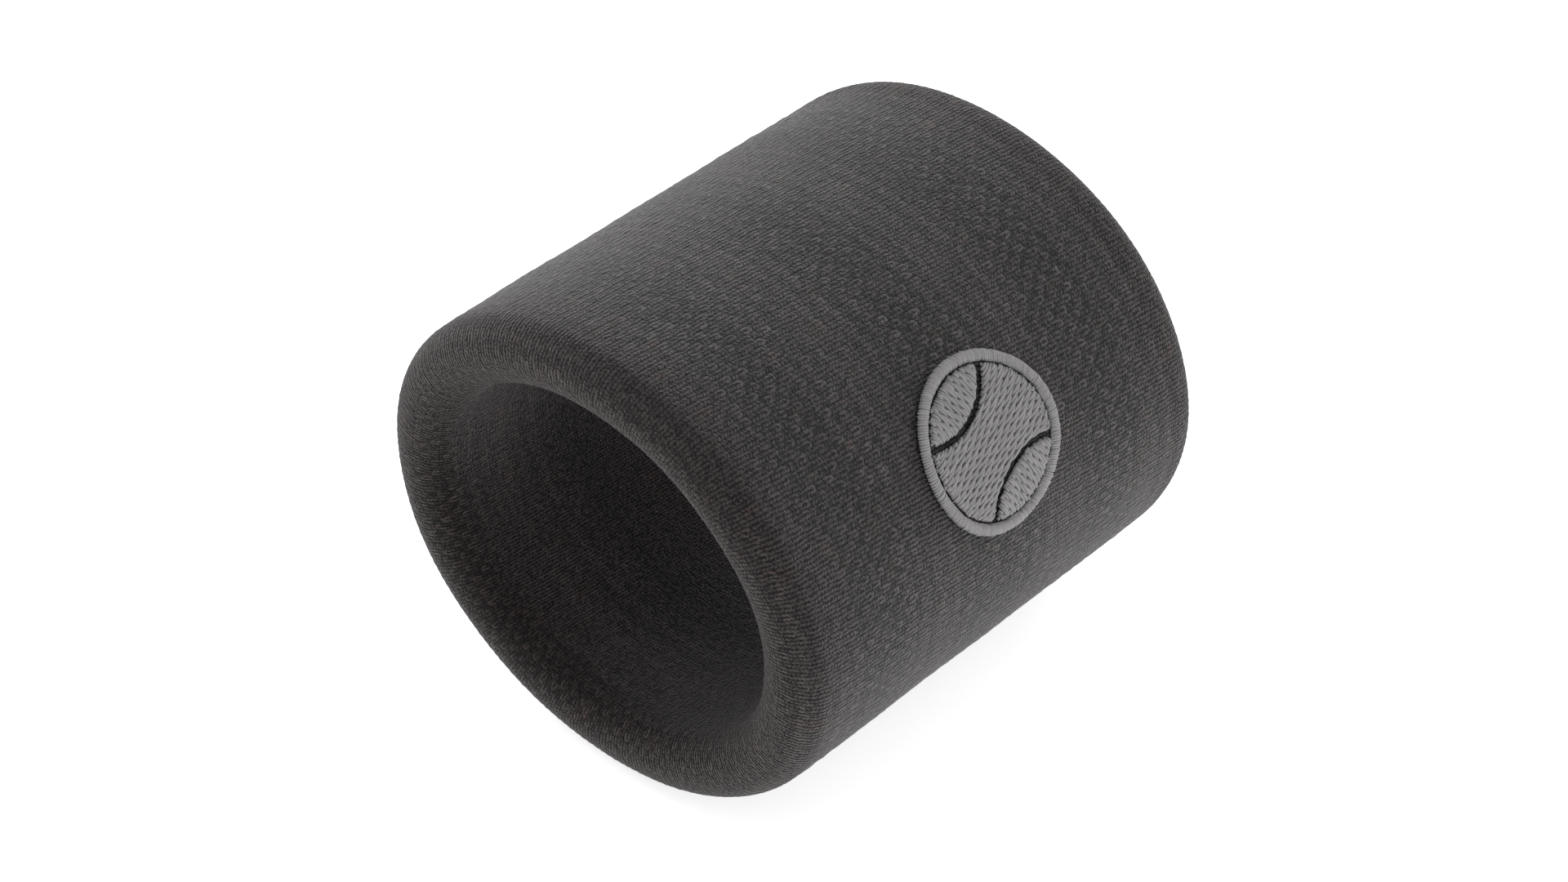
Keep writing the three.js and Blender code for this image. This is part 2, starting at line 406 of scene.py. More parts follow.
@dataclass(frozen=True)
class TerryFinish:
    """Charcoal heather knit: plaited columns of stitches, with soft loops rising in them.

    Cells are in a metre. Pairs of heights hold where neighbouring loops step, and where they line
    up, and pairs of edges are where a smooth step starts and ends. Sizes across a column are in
    columns, those along a loop in loop pitches, and those over a rim in rim lengths.
    """

    knit: Knit
    wall: float
    rim: float
    # shade is painted shade, the colour of the hollows between stitches; yarn is the raised yarn's
    # colour
    shade: Colour = (0.0016, 0.0014, 0.0015)
    yarn: Colour = (0.0690, 0.0605, 0.0635)
    pale_fibre: Colour = (0.1050, 0.0980, 0.0980)
    warm_fibre: Colour = (0.0900, 0.0560, 0.0430)
    # The rims' warmer tone, also darkened as painted shade.
    rim_tone_and_shade: Colour = (0.64, 0.525, 0.485)
    bore_tint: Colour = (1.05, 0.94, 0.91)
    relief: float = 0.34 * MM
    roughness: float = 0.62
    rim_roughness: float = 0.90
    specular: float = 0.32
    sheen: float = 0.27
    sheen_roughness: float = 0.35
    sheen_tint: Colour = (0.72, 0.71, 0.70)
    wander_cells: float = 160.0
    stray_cells: float = 700.0
    crepe_cells: float = 1900.0
    fibre_cells: float = 4200.0
    blotch_cells: float = 95.0
    warm_cells: float = 260.0
    row_width: float = 2.2 * MM
    wander: float = 0.30
    stray: float = 0.36
    leg_slant: float = 1.5
    leg_stray: float = 1.2
    loop_top: float = 0.74
    loop_radius: float = 0.30
    loop_width: float = 0.20
    loop_foot: tuple[float, float] = (0.42, 0.70)
    least_tone: float = 0.45
    leg_heights: tuple[float, float] = (0.30, 0.50)
    loop_heights: tuple[float, float] = (0.36, 0.20)
    crepe_edges: tuple[float, float] = (0.34, 0.66)
    crepe_height: float = 0.24
    fibre_height: float = 0.20
    painted_lit_edges: tuple[float, float] = (0.14, 0.72)
    pale_tones: tuple[float, float] = (0.55, 1.0)
    pale_fibres: tuple[float, float] = (0.40, 0.70)
    pale_loops: tuple[float, float] = (0.1, 0.5)
    pale_share: float = 0.7
    warm_tones: tuple[float, float] = (0.6, 1.0)
    warm_patches: tuple[float, float] = (0.5, 0.7)
    warm_share: float = 0.5
    blotch_depth: float = 0.5
    row_depth: float = 0.9
    rim_edges: tuple[float, float] = (-0.60, 0.80)
    bore_edges: tuple[float, float] = (0.80, 1.25)
    bore_wear: float = 0.55

    def past_wall(self, along: Value) -> Value:
        """How far a place lies past the outer wall's nearer end, in rim lengths."""
        return (0.0 - along).at_least(along - self.wall) * (1.0 / self.rim)

    def in_bore(self, along: Value) -> Value:
        """1 on the bore's wall and 0 on the outer one, with the change past the rim's crest."""
        return self.past_wall(along).step(*self.bore_edges)

    def legs(self, side: Value, along: Value, stray: Value) -> Value:
        """The two legs of each column, plaited stitch by stitch.

        Args:
            side: how far a place lies from its column's middle.
            along: its place along the knit.
            stray: the yarn's unevenness there.

        Returns:
            The legs' height, from 0 to 1.
        """
        stitch = along / self.knit.course + side * self.leg_slant + stray * self.leg_stray
        return hump(side - 0.25, 0.25) * ramp(self.least_tone, 1.0, stitch.wave())

    def loops(self, side: Value, inside: Value, tone: Value, along: Value) -> Value:
        """The loops, each an arch over its column, and worn lower in the bore.

        Args:
            side: how far a place lies from its column's middle.
            inside: its place in the loop's pitch.
            tone: the loop's own tone.
            along: its place along the knit.

        Returns:
            The loops' height, from 0 to 1.
        """
        rise = (inside - self.loop_top).at_least(0.0) * (self.knit.loop_pitch / self.knit.wale)
        around = (side * side + rise * rise).root()
        arch = hump(around - self.loop_radius, self.loop_width) * inside.step(*self.loop_foot)
        worn = 1.0 - self.bore_wear * self.in_bore(along)
        return arch * ramp(self.least_tone, 1.0, tone) * worn

    def stitches(self, shader: Shader) -> tuple[Value, Value, Value]:
        """The knit's height, its loops' share of it, and a random tone for each loop.

        Args:
            shader: the material's shader.

        Returns:
            The height, the loops and the tone, each from 0 to 1.
        """
        knit = self.knit
        across, along = shader.cloth_map()
        wander = shader.noise(self.wander_cells, 1.0) - 0.5
        stray = shader.noise(self.stray_cells, 1.0) - 0.5
        crepe = shader.noise(self.crepe_cells, 1.0).step(*self.crepe_edges)
        place = across + wander * self.wander + stray * self.stray
        side = abs(place.fraction() - 0.5)
        column = place.floor()
        odd = (column * 0.5).fraction() * 2.0
        slide = odd * (along / knit.zone_pitch + wander * 0.5)
        loop_row = along / knit.loop_pitch + slide + stray * 0.5
        tone = shader.chance(column, loop_row.floor())
        loops = self.loops(side, loop_row.fraction(), tone, along)
        lined_up = abs((along / knit.zone_pitch).fraction() - 0.5) * 2.0
        legs = self.legs(side, along, stray) * ramp(*self.leg_heights, lined_up)
        height = legs + loops * ramp(*self.loop_heights, lined_up) + crepe * self.crepe_height
        return height, loops, tone

    def material(self) -> bpy.types.Material:
        """Paints shade by the stitches' height, darker in their hollows, with pale and warm fibres
        among them.

        Returns:
            The cloth's material.
        """
        shader = Shader("charcoal_heather_knit")
        height, loops, tone = self.stitches(shader)
        _, along = shader.cloth_map()
        fibres = shader.noise(self.fibre_cells, 3.0)
        # Painted shade and light: the hollows between stitches take the dark shade colour and the
        # raised yarn the light one. body, and the heather mixed from it, carry this painted shade.
        painted_lit = (height * 0.9 + 0.5 * (fibres - 0.4)).step(*self.painted_lit_edges)
        body = shader.blend(painted_lit, self.shade, self.yarn)
        pale = tone.step(*self.pale_tones) * fibres.step(*self.pale_fibres)
        pale = pale * loops.step(*self.pale_loops)
        mottled = shader.blend(pale * self.pale_share, body, self.pale_fibre)
        patches = shader.noise(self.warm_cells, 1.0).step(*self.warm_patches)
        warm = redrawn(tone).step(*self.warm_tones) * patches
        heather = shader.blend(warm * self.warm_share * painted_lit, mottled, self.warm_fibre)
        blotches = shader.noise(self.blotch_cells, 3.0) - 0.5
        rows = shader.streaks(along, self.row_width) - 0.5
        strength = 1.0 + blotches * self.blotch_depth + rows * self.row_depth
        # The rims take a warmer tone that is darkened as painted shade, and the bore takes its own
        # tint.
        rim, bore = self.past_wall(along).step(*self.rim_edges), self.in_bore(along)
        tint = shader.blend(bore, shader.blend(rim, WHITE, self.rim_tone_and_shade), self.bore_tint)
        dull = rim * (1.0 - bore)
        return shader.finish({
            "Base Color": shader.times(shader.scaled(heather, strength), tint),
            "Roughness": ramp(self.roughness, self.rim_roughness, dull),
            "Normal": shader.bump(height + self.fibre_height * fibres, self.relief),
            "Specular IOR Level": self.specular,
            "Sheen Weight": self.sheen,
            "Sheen Roughness": self.sheen_roughness,
            "Sheen Tint": self.sheen_tint,
        })


@dataclass(frozen=True)
class YarnFinish:
    """A soft, lightly twisted sewing thread, with a tone of its own for each stitch.

    Cells are in a metre, and pairs are where a smooth step starts and ends.
    """

    name: str
    deep: Colour
    light: Colour
    fleck: Colour
    flecked: float = 0.0
    twist_cells: float = 5200.0
    blotch_cells: float = 95.0
    fleck_cells: float = 260.0
    tone_share: float = 0.55
    fibre_share: float = 0.35
    fibre_edges: tuple[float, float] = (0.30, 0.72)
    fleck_tones: tuple[float, float] = (0.55, 0.90)
    fleck_patches: tuple[float, float] = (0.45, 0.70)
    relief: float = 0.06 * MM
    roughness: float = 0.9
    sheen: float = 0.3
    sheen_roughness: float = 0.4
    specular: float = 0.25

    def material(self) -> bpy.types.Material:
        """Mixes the thread's tones by stitch, fibre and patch.

        Returns:
            The thread's material.
        """
        shader = Shader(self.name)
        fibres = shader.noise(self.twist_cells)
        blotches = shader.noise(self.blotch_cells, 3.0)
        tone = shader.attribute(TONE)
        uneven = fibres.step(*self.fibre_edges) + (blotches - 0.3)
        share = tone * self.tone_share + uneven * self.fibre_share
        body = shader.blend(share.at_least(0.0).at_most(1.0), self.deep, self.light)
        patches = shader.noise(self.fleck_cells, 1.0).step(*self.fleck_patches)
        chosen = redrawn(tone).step(*self.fleck_tones) * patches
        return shader.finish({
            "Base Color": shader.blend(chosen * self.flecked, body, self.fleck),
            "Roughness": self.roughness,
            "Normal": shader.bump(fibres, self.relief),
            "Specular IOR Level": self.specular,
            "Sheen Weight": self.sheen,
            "Sheen Roughness": self.sheen_roughness,
        })


@dataclass(frozen=True)
class RubberThreadFinish:
    """Rubber thread wound with black nylon, so that it shows fine slanting turns."""

    turn: float = 0.28 * MM
    wear_cells: float = 900.0
    relief: float = 0.05 * MM
    core: Colour = (0.012, 0.012, 0.013)
    cover: Colour = (0.045, 0.045, 0.048)

    def material(self) -> bpy.types.Material:
        """Winds the nylon round the rubber.

        Returns:
            The elastic thread's material.
        """
        shader = Shader("covered_rubber_thread")
        parts = shader.node("ShaderNodeSeparateXYZ", None, {"Vector": shader.position()})
        turns = ((parts["X"] + parts["Y"] * 0.8 + parts["Z"]) * (1.0 / self.turn)).wave()
        worn = shader.noise(self.wear_cells)
        return shader.finish({
            "Base Color": shader.blend(turns * 0.7 + worn * 0.3, self.core, self.cover),
            "Roughness": 0.55,
            "Normal": shader.bump(turns, self.relief),
            "Specular IOR Level": 0.4,
        })


@dataclass(frozen=True)
class NonWovenFinish:
    """Pressed fibre sheet, as used behind embroidery."""

    web_cells: float = 900.0
    fine_cells: float = 2600.0
    web_edge: float = 0.16
    relief: float = 0.04 * MM
    paper: Colour = (0.62, 0.60, 0.55)
    fibre: Colour = (0.80, 0.78, 0.73)

    def material(self) -> bpy.types.Material:
        """Lays a web of fibres over the sheet.

        Returns:
            The backing's material.
        """
        shader = Shader("pressed_fibre_backing")
        inputs = {"Vector": shader.position(), "Scale": self.web_cells}
        edges = shader.node("ShaderNodeTexVoronoi", {"feature": "DISTANCE_TO_EDGE"}, inputs)
        web = 1.0 - edges["Distance"].step(0.0, self.web_edge)
        fine = shader.noise(self.fine_cells, 3.0)
        return shader.finish({
            "Base Color": shader.blend(web * 0.6 + fine * 0.4, self.paper, self.fibre),
            "Roughness": 0.9,
            "Normal": shader.bump(web, self.relief),
        })


@dataclass(frozen=True)
class SatinRibbonFinish:
    """Blank woven satin ribbon: long warp floats crossed by a fine weft."""

    warp: float = 0.16 * MM
    weft: float = 0.42 * MM
    float_shift: float = 0.38
    soil_cells: float = 240.0
    relief: float = 0.03 * MM
    shade: Colour = (0.50, 0.49, 0.46)
    light: Colour = (0.70, 0.69, 0.66)

    def material(self) -> bpy.types.Material:
        """Weaves the ribbon.

        Returns:
            The label's material.
        """
        shader = Shader("blank_satin_ribbon")
        across, along = shader.cloth_map()
        threads = across * (1.0 / self.warp)
        wefts = (along * (1.0 / self.weft) + threads.floor() * self.float_shift).wave()
        weave = threads.wave() * 0.6 + wefts * 0.4
        soiled = shader.noise(self.soil_cells, 3.0)
        return shader.finish({
            "Base Color": shader.blend(weave * 0.6 + soiled * 0.4, self.shade, self.light),
            "Roughness": 0.42,
            "Normal": shader.bump(weave, self.relief),
            "Sheen Weight": 0.2,
        })


@dataclass(frozen=True)
class FloorFinish:
    """Matt, nearly white studio paper that glows a little."""

    grain_cells: float = 60.0
    paper: Colour = (0.90, 0.90, 0.90)
    fleck: Colour = (0.92, 0.92, 0.92)
    glow: float = 0.66

    def material(self) -> bpy.types.Material:
        """Gives the paper its grain.

        Returns:
            The floor's material.
        """
        shader = Shader("studio_paper")
        grain = shader.noise(self.grain_cells, 4.0)
        return shader.finish({
            "Base Color": shader.blend(grain, self.paper, self.fleck),
            "Roughness": 0.95,
            "Specular IOR Level": 0.1,
            "Emission Color": WHITE,
            "Emission Strength": self.glow,
        })


# ---- Meshes -------------------------------------------------------------------------------------
def unit(vectors: Array) -> Array:
    """Vectors of length 1 along the last axis."""
    return vectors / np.maximum(np.linalg.norm(vectors, axis=-1, keepdims=True), 1e-12)


def stretch(start: float, stop: float, step: float) -> Array:
    """Evenly spaced numbers from start up to, but not at, stop, about a step apart."""
    count = max(1, round(abs(stop - start) / step))
    return np.linspace(start, stop, count, endpoint=False)


def smooth(share: Array) -> Array:
    """A smooth step from 0 to 1, for shares that may lie outside."""
    held = np.clip(share, 0.0, 1.0)
    return held * held * (3.0 - 2.0 * held)


def between(places: Array, low: float, high: float) -> Array:
    """A smooth step from 0 at one place to 1 at another."""
    return smooth((places - low) / (high - low))


def walked(points: Array) -> Array:
    """The length walked along a line of points, from 0 at the first."""
    return np.concatenate([[0.0], np.cumsum(np.linalg.norm(np.diff(points, axis=0), axis=1))])


@dataclass
class Skin:
    """A mesh in the making: points, faces, and what each point or corner holds."""

    points: Array
    faces: Array
    maps: dict[str, Array] = field(default_factory=dict)
    tone: Array | None = None

    def build(self, name: str, material: bpy.types.Material) -> bpy.types.Object:
        """Makes the object.

        Args:
            name: the piece's name.
            material: its material.

        Returns:
            The object, smooth shaded.
        """
        mesh = bpy.data.meshes.new(name)
        mesh.from_pydata(self.points.tolist(), [], self.faces.tolist())
        for map_name, corners in self.maps.items():
            layer = mesh.uv_layers.new(name=map_name)
            layer.data.foreach_set("uv", corners.astype(np.float32).ravel())
        if self.tone is not None:
            held = mesh.attributes.new(TONE, "FLOAT", "POINT")
            held.data.foreach_set("value", self.tone.astype(np.float32))
        mesh.shade_smooth()
        mesh.materials.append(material)
        piece = bpy.data.objects.new(name, mesh)
        bpy.context.scene.collection.objects.link(piece)
        return piece


def stands_for(node: str) -> None:
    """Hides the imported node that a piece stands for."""
    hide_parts(node)


@dataclass
class Strands:
    """Many short threads of the same number of steps, built as one skin of closed tubes.

    Each thread has a cell of its own in the baking map: its wall, and its two caps beside it.
    """

    sides: int
    paths: list[Array] = field(default_factory=list)
    ups: list[Array] = field(default_factory=list)
    radii: list[Array] = field(default_factory=list)
    tones: list[Array] = field(default_factory=list)
    wall_corner: tuple[float, float] = (0.03, 0.05)
    wall_size: tuple[float, float] = (0.80, 0.90)
    cap_middle: tuple[float, float] = (0.92, 0.30)
    cap_size: tuple[float, float] = (0.05, 0.20)
    cap_rise: float = 0.45

    def add(self, paths: Array, up: Array, radius: Array | float, tone: Array) -> None:
        """Adds threads.

        Args:
            paths: places, as thread by step by three.
            up: the direction that counts as up at each place.
            radius: the thread's radius, one number or one for each place.
            tone: one tone for each thread.
        """
        self.paths.append(paths)
        self.ups.append(up)
        self.radii.append(np.broadcast_to(np.asarray(radius, float), paths.shape[:2]))
        self.tones.append(tone)

    def skin(self) -> Skin:
        """Winds a tube round every thread.

        Returns:
            The threads as one skin of triangles.
        """
        paths, up = np.concatenate(self.paths), np.concatenate(self.ups)
        radius = np.concatenate(self.radii)[..., None, None]
        count, steps = paths.shape[:2]
        ahead = unit(np.gradient(paths, axis=1))
        aside = unit(np.cross(ahead, up))
        over = np.cross(aside, ahead)
        turn = (np.arange(self.sides) * (FULL_TURN / self.sides) + QUARTER_TURN)[:, None]
        ring = aside[:, :, None] * np.cos(turn) + over[:, :, None] * np.sin(turn)
        points = (paths[:, :, None] + ring * radius).reshape(-1, 3)
        pattern, cell = self.pattern(steps)
        first = np.arange(count)[:, None, None] * (steps * self.sides)
        faces = (first + pattern[None]).reshape(-1, 3)
        across = math.ceil(math.sqrt(count))
        corner = np.stack([np.arange(count) % across, np.arange(count) // across], -1)
        bake = (corner[:, None, None] + cell[None]) / across
        tone = np.repeat(np.concatenate(self.tones), steps * self.sides)
        return Skin(points, faces, {BAKE_MAP: bake.reshape(-1, 2)}, tone)

    def pattern(self, steps: int) -> tuple[Array, Array]:
        """One thread's triangles, and their corners' places in a cell of 1 by 1.

        Args:
            steps: places along the thread.

        Returns:
            Point numbers, as triangle by 3, and cell places, as triangle by 3 by 2.
        """
        faces: list[tuple[int, int, int]] = []
        cells: list[list[tuple[float, float]]] = []
        wide, tall = self.wall_size[0] / (steps - 1), self.wall_size[1] / self.sides
        for step in range(steps - 1):
            for side in range(self.sides):
                beside = (side + 1) % self.sides
                here, there = step * self.sides, (step + 1) * self.sides
                left, low = self.wall_corner[0] + step * wide, self.wall_corner[1] + side * tall
                right, high = left + wide, low + tall
                faces.append((here + side, there + side, there + beside))
                cells.append([(left, low), (right, low), (right, high)])
                faces.append((here + side, there + beside, here + beside))
                cells.append([(left, low), (right, high), (left, high)])
        last = (steps - 1) * self.sides
        turns = [FULL_TURN * side / self.sides for side in range(self.sides)]
        (x, y), (half_wide, half_tall) = self.cap_middle, self.cap_size
        start = [(x + half_wide * math.cos(t), y + half_tall * math.sin(t)) for t in turns]
        end = [(across, up + self.cap_rise) for across, up in start]
        for side in range(1, self.sides - 1):
            faces.append((0, side, side + 1))
            cells.append([start[0], start[side], start[side + 1]])
            faces.append((last, last + side + 1, last + side))
            cells.append([end[0], end[side + 1], end[side]])
        return np.array(faces), np.array(cells)


# ---- The band's shape ---------------------------------------------------------------------------
@dataclass
class Band:
    """The oval of the band as it lies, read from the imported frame.

    The sag is how much its half width is over its radius, and its half height under it.
    """

    seam_thread_depth: float = 0.6 * MM
    layer: float = 3.9 * MM
    rim_bulge: float = 0.9
    table_steps: int = 4096

    def __post_init__(self) -> None:
        """Reads the tube's box and the closing seam's, which hold every size of the oval."""
        low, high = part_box("terry_tube")
        seam_low, seam_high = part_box("closing_seam_thread")
        seam_half = (seam_high - seam_low) / 2.0
        seam_middle = (seam_high + seam_low) / 2.0
        self.sag = (seam_half.x - seam_half.z) / 2.0
        self.radius = (high.x - low.x) / 2.0 - self.sag
        self.bore = (seam_half.x + seam_half.z) / 2.0 - self.seam_thread_depth
        self.wall = self.radius - self.bore
        self.gap = self.wall - 2.0 * self.layer
        self.centre_height = seam_middle.z
        self.half_length = (high.y - low.y) / 2.0
        self.seam_along = seam_middle.y
        self.rim_depth = self.rim_bulge * self.wall / 2.0
        self.angles = np.linspace(0.0, FULL_TURN, self.table_steps)
        arcs = walked(self.place(self.angles, self.radius, 0.0))
        self.girth = float(arcs[-1])
        self.arcs = arcs / self.girth

    def angle(self, turn: Array) -> Array:
        """The oval's angle at a share of a turn, which may pass 1 or be under 0."""
        return np.interp(np.mod(turn, 1.0), self.arcs, self.angles)

    def place(self, angle: Array, radius: Array | float, along: Array | float) -> Array:
        """Places in the frame.

        Args:
            angle: the oval's angle, from the +X side upwards.
            radius: distance from the bore's axis, before the sag.
            along: place along the bore.

        Returns:
            The places, with three numbers on the last axis.
        """
        x = (radius + self.sag) * np.cos(angle)
        z = (radius - self.sag) * np.sin(angle) + self.centre_height
        return np.stack(np.broadcast_arrays(x, along, z), -1)

    def outward(self, angle: Array, radial: Array | float, along: Array | float) -> Array:
        """Unit directions.

        Args:
            angle: the oval's angle.
            radial: the direction's part away from the bore's axis.
            along: its part along the bore.

        Returns:
            The directions, with three numbers on the last axis.
        """
        x = np.cos(angle) / (self.radius + self.sag)
        z = np.sin(angle) / (self.radius - self.sag)
        size = np.hypot(x, z)
        parts = np.broadcast_arrays(radial * x / size, along, radial * z / size)
        return unit(np.stack(parts, -1))


@dataclass
class Outline:
    """The cloth's closed section: each point's radius and place along the bore.

    The first point is repeated at the end. The length is what is walked to each point.
    """

    radius: Array
    along: Array
    length: Array = field(init=False)
    radial_normal: Array = field(init=False)
    along_normal: Array = field(init=False)

    def __post_init__(self) -> None:
        """Works out the length walked and the outward direction at each point."""
        self.length = walked(np.stack([self.radius, self.along], -1))
        radius, along = self.radius[:-1], self.along[:-1]
        d_radius = np.roll(radius, -1) - np.roll(radius, 1)
        d_along = np.roll(along, -1) - np.roll(along, 1)
        size = np.maximum(np.hypot(d_radius, d_along), 1e-9)
        self.radial_normal = d_along / size
        self.along_normal = -d_radius / size


def run(radius: float, places: Array) -> Array:
    """Points of a straight run of the section at one radius."""
    return np.stack([np.full(len(places), radius), places], -1)


def bend(centre: tuple[float, float], reach: tuple[float, float], span: tuple[float, float],
         steps: int) -> Array:
    """Points of an elliptic arc of the section, without its last one.

    Args:
        centre: the arc's centre, as radius and place along the bore.
        reach: its half axes, radially and along the bore.
        span: its first and last angle.
        steps: points on it.

    Returns:
        The points, as radius and place along the bore.
    """
    angle = np.linspace(span[0], span[1], steps, endpoint=False)
    radius, along = centre[0] + reach[0] * np.cos(angle), centre[1] + reach[1] * np.sin(angle)
    return np.stack([radius, along], -1)


class Unevenness:
    """Gentle, seeded swells that close on themselves round the band and round its section."""

    MOST_ROUND = 9
    MOST_ALONG = 16

    def __init__(self, seed: int, waves: int, swell: float, around: float) -> None:
        """Draws the waves.

        Args:
            seed: the random draw.
            waves: how many are added up.
            swell: about how far they reach together.
            around: the section's whole length.
        """
        draw = np.random.default_rng(seed)
        self.turns = draw.integers(-self.MOST_ROUND, self.MOST_ROUND + 1, waves)
        along = draw.integers(-self.MOST_ALONG, self.MOST_ALONG + 1, waves)
        self.along = along * (FULL_TURN / around)
        self.phase = draw.uniform(0.0, FULL_TURN, waves)
        self.share = draw.uniform(0.5, 1.0, waves) * swell / math.sqrt(waves)

    def at(self, turn: Array, length: Array) -> Array:
        """How far the swells stand out.

        Args:
            turn: shares of a turn round the band.
            length: lengths walked along its section.

        Returns:
            The height at each place.
        """
        total = np.zeros(np.broadcast(turn, length).shape)
        for turns, wave, phase, share in zip(self.turns, self.along, self.phase, self.share):
            total += share * np.sin(FULL_TURN * turns * turn + wave * length + phase)
        return total


# ---- Sub-assemblies -----------------------------------------------------------------------------
@dataclass
class TerryTube:
    """The folded knit tube: one cloth that goes over both rims and closes at the seam."""

    band: Band
    knit: Knit
    round_steps: int = 372
    cloth_step: float = 0.81 * MM
    rim_steps: int = 22
    fold_steps: int = 5
    hidden_step: float = 5.0 * MM
    hidden_depth: float = 1.6 * MM
    seam_dip: float = 0.5 * MM
    seam_reach: float = 2.4 * MM
    seam_lip: float = 0.5 * MM
    seam_slit: float = 0.12 * MM
    swell_seed: int = 11
    waves: int = 14
    swell: float = 0.10 * MM
    rib: float = 0.10 * MM
    deepest_furrow: float = 0.072 * MM
    ruffle: float = 0.018 * MM
    rim_share: float = 0.5
    relief_seed: int = 12
    loop_rows: int = 400
    least_loop: float = 0.45
    loop_rise: tuple[float, float] = (0.10, 0.70)
    loop_fall: tuple[float, float] = (0.84, 0.98)
    rib_foot: float = 0.15
    bake_margin: float = 0.002
    hidden_bake: float = 0.02

    def __post_init__(self) -> None:
        """Draws the section and the swells, and measures the outer wall and a rim on it."""
        self.outline = self.section()
        length = self.outline.length
        self.swells = Unevenness(self.swell_seed, self.waves, self.swell, float(length[-1]))
        self.wall = 2.0 * (self.band.half_length - self.band.rim_depth)
        far_end = int(np.argmin(np.abs(length - self.wall)))
        self.rim = float(length[far_end + self.rim_steps]) - self.wall

    def near_seam(self, start: float, stop: float, step: float) -> Array:
        """A run of the bore's wall, which dips where the two edges are sewn together.

        Args:
            start: its first place along the bore.
            stop: where it ends, without a point there.
            step: about how far apart its points are.

        Returns:
            The points, as radius and place along the bore.
        """
        places = stretch(start, stop, step)
        off = np.abs(places - self.band.seam_along)
        dip = 1.0 - between(off, self.seam_lip, self.seam_reach)
        return np.stack([self.band.bore + self.seam_dip * dip, places], -1)

    def section(self) -> Outline:
        """The cloth's section: outer wall, far rim, bore, the closed space, and the bore again.

        Returns:
            The closed outline.
        """
        band, lip = self.band, self.seam_lip
        far_edge = band.seam_along + self.seam_slit / 2.0
        near_edge = band.seam_along - self.seam_slit / 2.0
        far_turn, near_turn = band.seam_along + self.seam_reach, band.seam_along - self.seam_reach
        start = band.half_length - band.rim_depth
        middle, rim = band.radius - band.wall / 2.0, (band.wall / 2.0, band.rim_depth)
        gap_in, gap_out = band.bore + band.layer, band.radius - band.layer
        gap_middle, gap_half = (gap_in + gap_out) / 2.0, (band.gap / 2.0, band.gap / 2.0)
        gap_end = band.half_length - band.layer - band.gap / 2.0
        lip_radius, turned = band.bore + self.seam_dip + lip, (lip, lip)
        step, hidden, fold = self.cloth_step, self.hidden_step, self.fold_steps
        parts = [
            run(band.radius, stretch(-start, start, step)),
            bend((middle, start), rim, (0.0, math.pi), self.rim_steps),
            self.near_seam(start, far_turn, step),
            self.near_seam(far_turn, far_edge + lip, step / 2.0),
            bend((lip_radius, far_edge + lip), turned, (math.pi, 1.5 * math.pi), fold),
            run(lip_radius + lip, np.array([far_edge])),
            run(gap_in, stretch(far_edge, gap_end, hidden)),
            bend((gap_middle, gap_end), gap_half, (math.pi, 0.0), fold),
            run(gap_out, stretch(gap_end, -gap_end, hidden)),
            bend((gap_middle, -gap_end), gap_half, (0.0, -math.pi), fold),
            run(gap_in, stretch(-gap_end, near_edge, hidden)),
            run(gap_in, np.array([near_edge])),
            run(lip_radius + lip, np.array([near_edge])),
            bend((lip_radius, near_edge - lip), turned, (0.5 * math.pi, math.pi), fold),
            self.near_seam(near_edge - lip, near_turn, step / 2.0),
            self.near_seam(near_turn, -start, step),
            bend((middle, -start), rim, (math.pi, FULL_TURN), self.rim_steps),
        ]
        points = np.concatenate(parts)
        closed = np.concatenate([points, points[:1]])
        return Outline(closed[:, 0], closed[:, 1])

    def cloth_rows(self) -> tuple[Array, Array]:
        """Each ring's place in the cloth, counted both ways from the outer wall's near end.

        Returns:
            The place along the knit, and how many columns the knit has leaned by there.
        """
        length, hidden = self.outline.length, self.hidden()
        total = length[-1]
        first, last = float(length[:-1][hidden].min()), float(length[1:][hidden].max())
        place = np.where(length < (first + last) / 2.0, length, length - total)
        back = np.clip((length - first) / (last - first), 0.0, 1.0) * total
        return place, self.knit.lean * (length - back)

    def hidden(self) -> Array:
        """Finds the closed space between the layers.

        Returns:
            True for each step of the section that bounds it.
        """
        band = self.band
        radius = (self.outline.radius[1:] + self.outline.radius[:-1]) / 2.0
        along = np.abs(self.outline.along[1:] + self.outline.along[:-1]) / 2.0
        deep = (radius > band.bore + self.hidden_depth) & (radius < band.radius - self.hidden_depth)
        return deep & (along < band.half_length - band.layer + band.gap)

    def relief(self, place: Array) -> Array:
        """How far the stitches' ribs and furrows stand from the cloth's middle surface.

        Args:
            place: each ring's place along the knit.

        Returns:
            The heights, as column point by ring.
        """
        draw = np.random.default_rng(self.relief_seed)
        step = np.arange(self.round_steps)[:, None]
        column = step * self.knit.wales // self.round_steps
        slide = (column % 2) * place[None] / self.knit.zone_pitch
        row = place[None] / self.knit.loop_pitch + slide
        inside = row - np.floor(row)
        chance = draw.uniform(self.least_loop, 1.0, (self.knit.wales, self.loop_rows))
        share = chance[column, np.floor(row).astype(int) % self.loop_rows]
        loop = share * between(inside, *self.loop_rise) * (1.0 - between(inside, *self.loop_fall))
        ridge = self.rib * (self.rib_foot + (1.0 - self.rib_foot) * loop)
        ridge = ridge + draw.normal(0.0, self.ruffle, loop.shape)
        furrow = -draw.uniform(0.0, self.deepest_furrow, ridge.shape)
        curved = np.abs(self.outline.along[:-1]) > self.band.half_length - self.band.rim_depth
        return np.where(step % 2 == 1, ridge, furrow) * np.where(curved, self.rim_share, 1.0)

